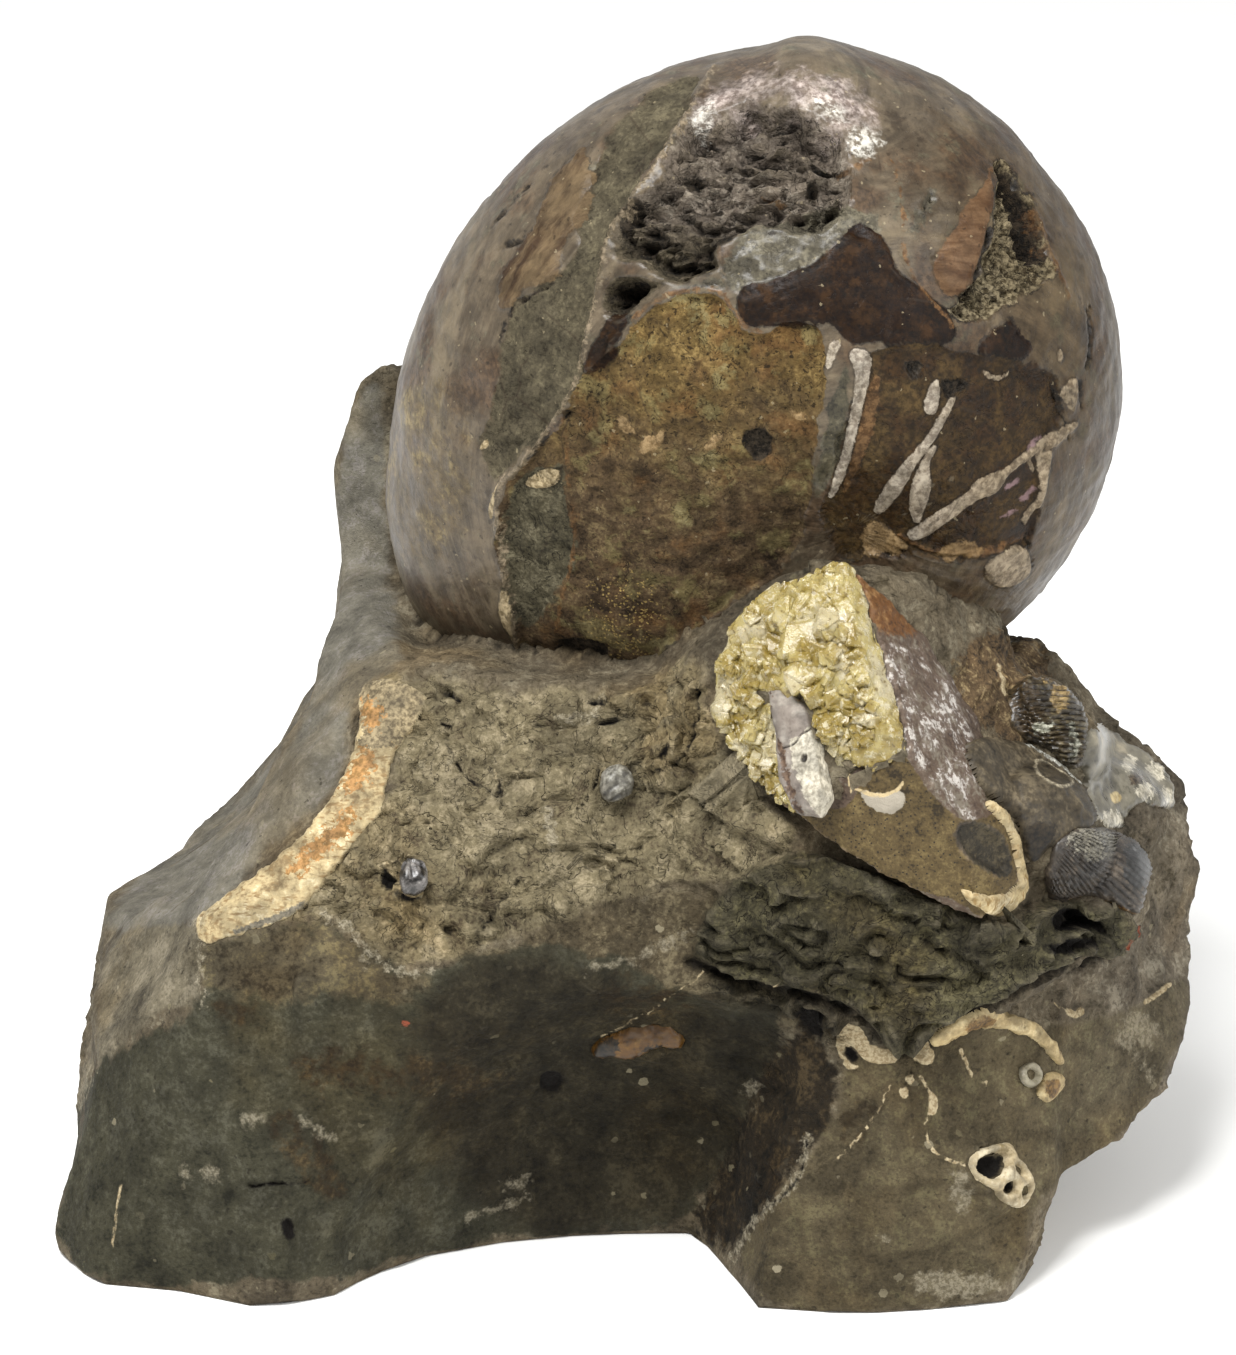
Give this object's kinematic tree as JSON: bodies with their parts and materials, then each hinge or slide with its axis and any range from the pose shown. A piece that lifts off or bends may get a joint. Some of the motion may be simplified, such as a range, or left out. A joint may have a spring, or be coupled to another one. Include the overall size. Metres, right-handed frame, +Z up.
{
  "type": "fossil ammonite in matrix",
  "caption": "Smooth-whorled fossil ammonite half freed from a block of grey mudstone, with a calcite-lined shell fragment and small shells set in the stone beside it.",
  "frame": {"origin": "on the flat underside of the block, about under the middle of the specimen", "axes": "+Z up, -Y towards the front that shows the ammonite's side, +X to the right as seen from the front"},
  "size_m": [0.2066, 0.1424, 0.2092],
  "materials": {
    "mudstone": "matte, rough stone",
    "ammonite_shell": "polished in places, satin",
    "brown_shell": "satin with white flecks",
    "calcite": "translucent, sparkling",
    "septum": "satin",
    "cream_shell": "matte",
    "dark_shell": "satin",
    "pearl": "pearly",
    "orange_shell": "matte",
    "pale_shell": "satin",
    "banded_shell": "matte, in thin layers"
  },
  "bodies": {
    "root": {"matrix": "mudstone", "ammonite": "ammonite_shell", "shell_fragment": "brown_shell", "calcite_crystals": "calcite", "septum_plate": "septum", "fragment_rim": "cream_shell", "ribbed_ammonite": "dark_shell", "smooth_shell": "dark_shell", "ribbed_clam": "dark_shell", "pearl_patch": "pearl", "orange_shell": "orange_shell", "tiny_snail": "pale_shell", "white_snail": "pale_shell", "shell_band": "banded_shell", "shell_arc": "cream_shell", "shell_rings": "cream_shell", "small_ring": "cream_shell"}
  },
  "joints": []
}
